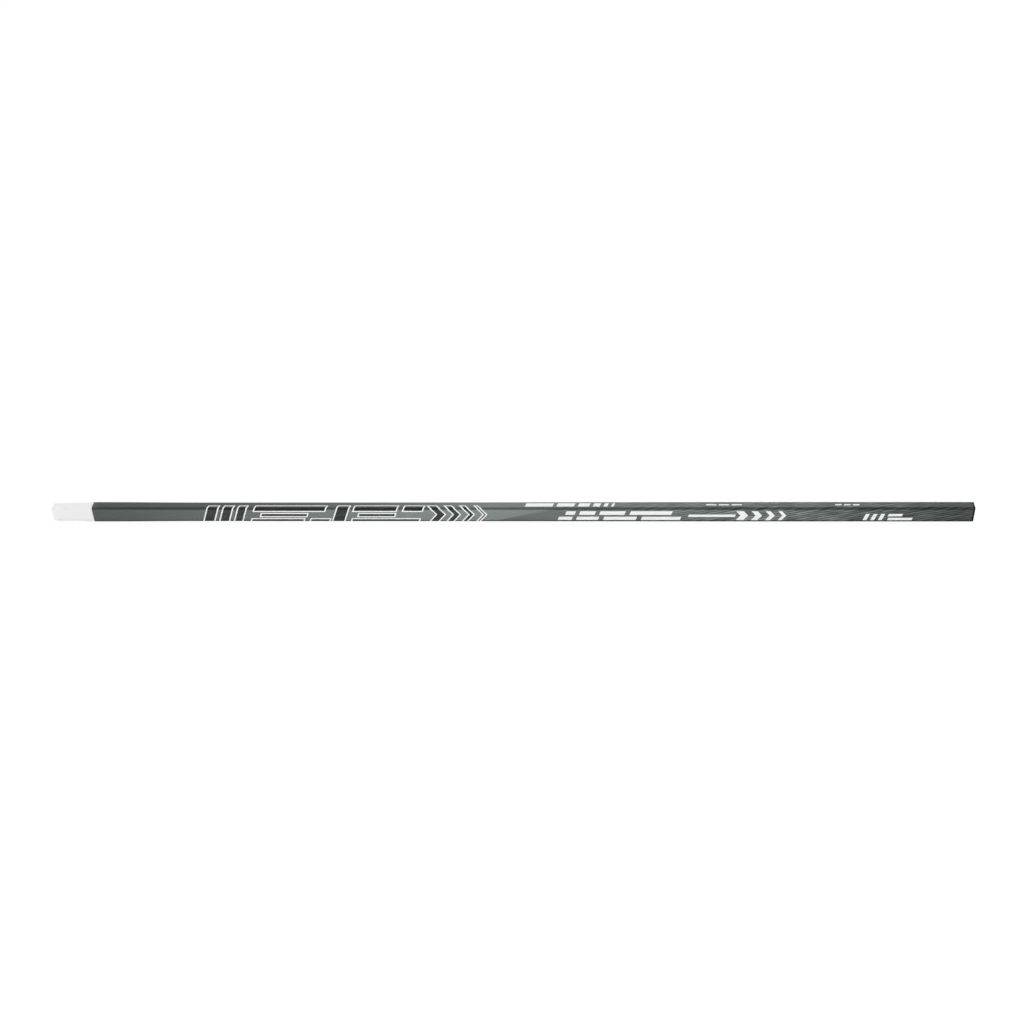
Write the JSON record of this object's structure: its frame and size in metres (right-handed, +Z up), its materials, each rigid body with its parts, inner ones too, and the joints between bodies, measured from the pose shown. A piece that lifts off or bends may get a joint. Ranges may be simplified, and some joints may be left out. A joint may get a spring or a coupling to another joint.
{
  "type": "ringette stick",
  "caption": "Straight ringette stick: a slim rounded-rectangle carbon shaft with a white moulded tip glued into one end and a black cap on the other.",
  "frame": {"origin": "middle of the stick's length and width, on the surface that its lower narrow edge rests on", "axes": "+X along the stick from the tip to the butt, +Y across the narrow way, out of one wide side, +Z up, along the section's height"},
  "size_m": [1.473, 0.0182, 0.0288],
  "materials": {
    "carbon_laminate": null,
    "tip_nylon": "satin white moulded nylon",
    "hot_melt": "translucent amber hot-melt adhesive, hidden inside the socket",
    "cap_rubber": "matt black moulded rubber"
  },
  "bodies": {
    "root": {"shaft": "carbon_laminate", "tip": "tip_nylon", "tip_bond": "hot_melt", "butt_cap": "cap_rubber"}
  },
  "joints": []
}
